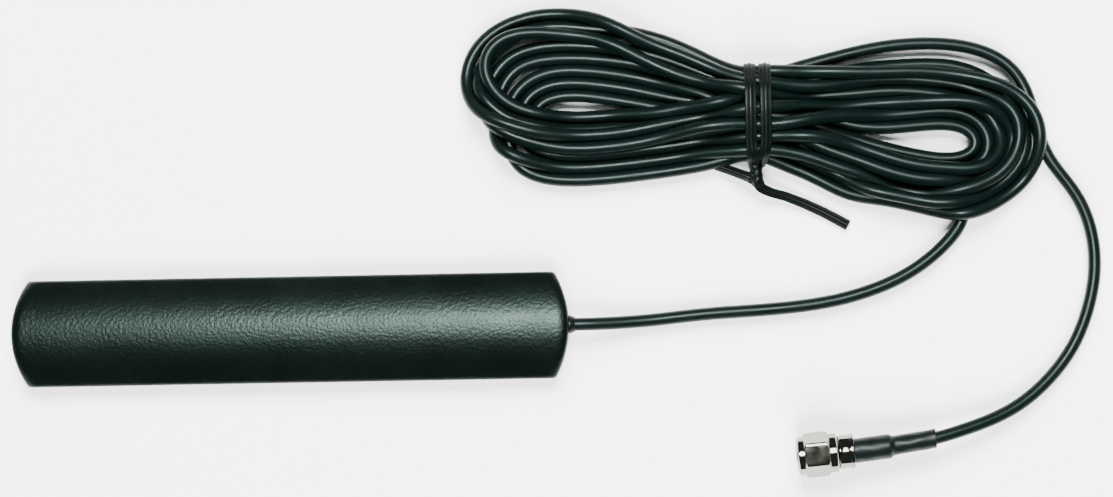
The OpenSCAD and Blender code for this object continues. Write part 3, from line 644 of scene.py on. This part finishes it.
# the hole for the bushing, cut through the end wall
HOLE_RADIUS, HOLE_FROM, HOLE_TO = 1.76, 54, 60
hole_profile = [(HOLE_FROM, 0.01), (HOLE_TO, 0.01), (HOLE_TO, HOLE_RADIUS), (HOLE_FROM, HOLE_RADIUS)]
hole, hole_faces = turned(hole_profile, EXIT_AXIS, cut=0.001)
cutter = bpy.data.objects.new("cutter", mesh_of("cutter", hole, hole_faces))
bpy.context.scene.collection.objects.link(cutter)
drill = housing.modifiers.new("cable_hole", "BOOLEAN")
drill.object, drill.operation = cutter, "DIFFERENCE"
bpy.context.view_layer.objects.active = housing
bpy.ops.object.modifier_apply(modifier=drill.name)
bpy.data.objects.remove(cutter)

bushing_profile = [(55.9, 1.37), (55.9, 1.74), (57.5, 1.74), (57.5, 1.88), (57.8, 1.88), (58.8, 1.46),
                   (58.8, 1.37)]
bushing = add_object("cable_bushing", mesh_of("cable_bushing", *turned(bushing_profile, EXIT_AXIS)),
                     "bushing", "antenna", "entry_bushing")

# ---------------------------------------------------------------- twist tie
TIE_WIDTH = 2.4
TIE_NEAR = (93.9, 100.3)        # strands between these x are inside the tie
TIE_REST = RADIUS_MM + 0.24     # from a strand's middle to the strip's middle
BAND_X = (95.6, 98.7)
TIE_LOWEST = 0.72               # of the strip's middle as it passes under the strands
NECK_OFFSET, NECK_WIDTH = 1.1, TIE_WIDTH * 1.1
START_SHARE, END_SHARE = 0.07, 0.90     # where the strip's two turns begin and end, of one turn
# half of the strip's section: share of its width, and height of the skin over the core
STRIP_TOP = [(-.5, 0), (-.47, .1), (-.4, .14), (-.22, .15), (-.16, .24), (-.08, .33), (0, .36)]
STRIP_BASE = [(.5, 0), (.47, -.1), (.4, -.14), (.2, -.16), (0, -.22)]


def mirrored(half):
    return half + [(-w, h) for w, h in half[-2:0:-1]]


def hull(points):
    """Corners of the tightest loop round flat points, anticlockwise."""
    points = sorted(map(tuple, points))
    sides = []
    for run in (points, points[::-1]):
        side = []
        for p in run:
            while len(side) > 1 and ((side[-1][0] - side[-2][0]) * (p[1] - side[-2][1])
                                     - (side[-1][1] - side[-2][1]) * (p[0] - side[-2][0])) <= 0:
                side.pop()
            side.append(p)
        sides += side[:-1]
    return np.array(sides)


def bundle_loop(count=90):
    """Points (y, z) round the strands inside the tie, from its front, up over the top and back
    beneath, with the direction that faces out at each."""
    inside = route[(route[:, 0] > TIE_NEAR[0]) & (route[:, 0] < TIE_NEAR[1])
                   & (route[:, 1] > BUNDLE_Y[0]) & (route[:, 1] < BUNDLE_Y[1])]
    turn = np.linspace(0, 2 * math.pi, 24, endpoint=False)
    rim = np.stack([np.cos(turn), np.sin(turn)], 1) * TIE_REST
    corners = hull((inside[:, None, 1:] + rim[None]).reshape(-1, 2))[::-1]
    # from the frontmost corner, and of equal ones from the one nearest to 3 mm up
    start = int(np.argmin(corners[:, 0] + 0.02 * abs(corners[:, 1] - 3)))
    loop = np.vstack([np.roll(corners, -start, 0), corners[start]])
    along = np.r_[0, np.cumsum(np.linalg.norm(np.diff(loop, axis=0), axis=1))]
    even = np.linspace(0, along[-1], count, endpoint=False)
    loop = np.stack([np.interp(even, along, loop[:, k]) for k in (0, 1)], 1)
    loop[:, 1] = np.maximum(loop[:, 1], TIE_LOWEST)
    for _ in range(3):
        loop = (np.roll(loop, 1, 0) + 2 * loop + np.roll(loop, -1, 0)) / 4
    ahead = np.roll(loop, -1, 0) - np.roll(loop, 1, 0)
    facing = np.stack([-ahead[:, 1], ahead[:, 0]], 1)
    return loop, facing / np.linalg.norm(facing, axis=1)[:, None]


def tie_route():
    """The strip from the long tail's end, twice round the bundle, to the short end.

    Each row is a point, the way its upper face looks, and its width there."""
    rows = []
    tail = [(115.4, 19.5, .38), (110.4, 22.3, .5), (106.4, 24.2, .8), (102.6, 25.7, 1.3),
            (99.6, 26.5, 1.8), (97.6, 27.4, 2.3)]
    rows += [(p, (0, 0, 1), TIE_WIDTH * w) for p, w in zip(tail, (.92, .9, .88, .84, .84, .9))]
    neck_low, neck_high = np.array((96.8, 28.8, 2.6)), np.array((96.4, 32.3, 3.3))
    side, up = np.array((1.0, .3, 0)), np.array((0, 0, 1.0))

    def twisted(t, strand):
        angle = 2 * math.pi * (1.25 * t + 0.5 * strand) + math.pi / 2
        out = side * math.cos(angle) + up * math.sin(angle)
        return neck_low + (neck_high - neck_low) * t + out * NECK_OFFSET, out, NECK_WIDTH

    rows += [twisted(t, 0) for t in np.linspace(0, 1, 9)]
    loop, facing = bundle_loop()
    count = len(loop)

    def round_bundle(k, x, lift=0.0, width=1.0):
        i = k % count
        point = loop[i] + facing[i] * lift
        rows.append(((x, *point), (0, *facing[i]), TIE_WIDTH * width))

    first, last = int(count * START_SHARE), int(count * END_SHARE)
    for k in range(first, count + last):
        share = k / count
        if share < 1:
            x = np.interp(share, (START_SHARE, 0.15, 0.8, 1), (96.0, BAND_X[0], BAND_X[0], 97.1))
            lift = np.interp(share, (START_SHARE, 0.13), (0.5, 0))
        else:
            end = 1 + END_SHARE
            x = np.interp(share, (1, 1.14, 1.8, end), (97.1, BAND_X[1], BAND_X[1], 97.2))
            lift = np.interp(share, (1.8, end), (0, 0.45))
        round_bundle(k, x, lift)
    rows += [twisted(t, 1) for t in np.linspace(1, 0, 9)]
    stub = [(95.4, 29.6, 2.6), (93.2, 30.5, 2.1), (90.8, 31.5, 1.5), (88.4, 32.4, 1.0)]
    rows += [(p, (0, .12, 1), TIE_WIDTH * w) for p, w in zip(stub, (.95, .85, .85, .85))]
    return rows


def swept(rows, section, parts=3):
    """Points and faces of a strip along rows of (point, facing, width)."""
    table = np.array([(*p, *f, w) for p, f, w in rows], float)
    at = np.r_[0, np.cumsum(np.linalg.norm(np.diff(table[:, :3], axis=0), axis=1))]
    even = np.linspace(0, at[-1], int(at[-1] * parts))
    table = np.stack([np.interp(even, at, table[:, k]) for k in range(7)], 1)
    for _ in range(4):
        table[1:-1] = (table[:-2] + 2 * table[1:-1] + table[2:]) / 4
    points = []
    for i, row in enumerate(table):
        ahead = table[min(i + 1, len(table) - 1), :3] - table[max(i - 1, 0), :3]
        ahead /= np.linalg.norm(ahead)
        out = row[3:6] - ahead * row[3:6].dot(ahead)
        out /= np.linalg.norm(out)
        across = np.cross(ahead, out)
        points += [row[:3] + across * (w * row[6]) + out * h for w, h in section]
    return points, ring_faces(len(table), len(section)), table


tie_rows = tie_route()
tie_points, tie_faces, tie_line = swept(tie_rows, mirrored(STRIP_TOP) + mirrored(STRIP_BASE))
tie = add_object("twist_tie", mesh_of("twist_tie", tie_points, tie_faces, 50), "tie_strip",
                 "antenna", "twist_tie_strip")


def wire_ends():
    """The cut ends of the core, just proud of the strip."""
    points, faces = [], []
    for end, inner in ((tie_line[0], tie_line[3]), (tie_line[-1], tie_line[-4])):
        away = (end[:3] - inner[:3]) / np.linalg.norm(end[:3] - inner[:3])
        across = np.cross(away, (0, 0, 1.0))
        across /= np.linalg.norm(across)
        over = np.cross(across, away)
        start = len(points)
        for out, r in ((-0.6, .19), (0.25, .19), (0.3, .14)):
            points += [end[:3] + away * out + (across * math.cos(t) + over * math.sin(t)) * r
                       for t in np.linspace(0, 2 * math.pi, 12, endpoint=False)]
        faces += [tuple(start + i for i in face) for face in ring_faces(3, 12)]
    return points, faces


tie_core = add_object("tie_wire_ends", mesh_of("tie_wire_ends", *wire_ends()), "tie_wire",
                      "antenna", "twist_tie_wire")

# ---------------------------------------------------------------- plug
HEX_FLAT = 4.0
CORNER_POWER = 60               # the higher, the sharper the corners between the flats
BORE = 2.85
THREAD_PITCH, THREAD_DEPTH = 0.7056, 0.3
THREAD_FROM, THREAD_TO, THREAD_FADE = 0.45, 4.8, 0.3
SLEEVE_FLARE = 0.8              # length of the sleeve's slightly open end


def nut_shape(s, r, angle):
    """Cuts the six flats into the turned outline, and the thread into its bore."""
    if r > HEX_FLAT - 0.01:
        turn = (angle + math.pi / 6) % (math.pi / 3)
        beside = math.cos(turn) ** CORNER_POWER + math.cos(math.pi / 3 - turn) ** CORNER_POWER
        return min(r, HEX_FLAT / beside ** (1 / CORNER_POWER))
    if abs(r - BORE) < 0.01 and THREAD_FROM < s < THREAD_TO:
        wave = abs((s / THREAD_PITCH + angle / (2 * math.pi)) % 1 * 2 - 1)
        depth = THREAD_DEPTH * min(1, (s - THREAD_FROM) / THREAD_FADE, (THREAD_TO - s) / THREAD_FADE)
        return r + depth * wave
    return r


nut_profile = [(0, 3.25), (0, 3.6), (.25, 3.85), (1.4, 3.85), (1.4, 4.12), (1.95, 4.7), (6, 4.7),
               (6.4, 4.25), (6.5, 4.0), (7.9, 4.0), (8.2, 3.7), (8.2, 2.34), (5.85, 2.34), (5.85, 3.05),
               (4.9, 3.05), (4.9, BORE), (.41, BORE)]
body_profile = [(3, 2.06), (3, 2.26), (4.95, 2.26), (4.95, 1.98), (5.85, 1.98), (5.85, 2.26),
                (8.25, 2.26), (8.25, 3.15), (8.6, 3.42), (10.8, 3.42), (10.8, 3.52), (11.5, 3.5),
                (11.5, 1.15), (18, 1.15), (18, .8), (10, .8), (10, 1.45), (4.55, 1.45), (4.55, 2.06)]
sleeve_profile = [(11.55, 2.21), (11.55, 2.5), (18.9, 2.5), (19.7, 2.0), (SLEEVE_END_MM, 1.97),
                  (SLEEVE_END_MM, 1.38), (19.05, 1.38), (18.25, 2.21)]


def sleeve_shape(s, r, angle):
    """Shrunk tubing isn't quite round, and its cut end stands slightly open."""
    wave = 0.025 * math.sin(3 * angle + 0.9 * s) + 0.015 * math.sin(5 * angle - 1.7 * s)
    return r + (wave if r > 1.9 else 0) + 0.07 * max(0.0, s - (SLEEVE_END_MM - SLEEVE_FLARE))


nut = add_object("hex_nut", mesh_of("hex_nut", *turned(nut_profile, shape=nut_shape, around=144,
                                                      cut=0.1, step=0.12)),
                 "nickel_plate", "nut", "coupling_nut")
body = add_object("plug_body", mesh_of("plug_body", *turned(body_profile)), "nickel_plate",
                  "antenna", "connector_body")
sleeve = add_object("shrink_sleeve", mesh_of("shrink_sleeve", *turned(
    sleeve_profile, shape=sleeve_shape, bend=sleeve_bend, cut=0.2, step=0.5)),
    "heat_shrink", "antenna", "heat_shrink_sleeve")

# ---------------------------------------------------------------- finishes of the CAD pieces
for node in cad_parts.values():
    for k, old in enumerate(node.data.materials):
        node.data.materials[k] = FINISH[old.name.split(".")[0]]

# ---------------------------------------------------------------- floor
bpy.ops.mesh.primitive_plane_add(size=12, location=(0, 0, -0.0002))
floor = bpy.context.object
floor.name = "floor"
floor.data.materials.append(shader("floor", (0.93, 0.93, 0.93), 0.85, bump=0))
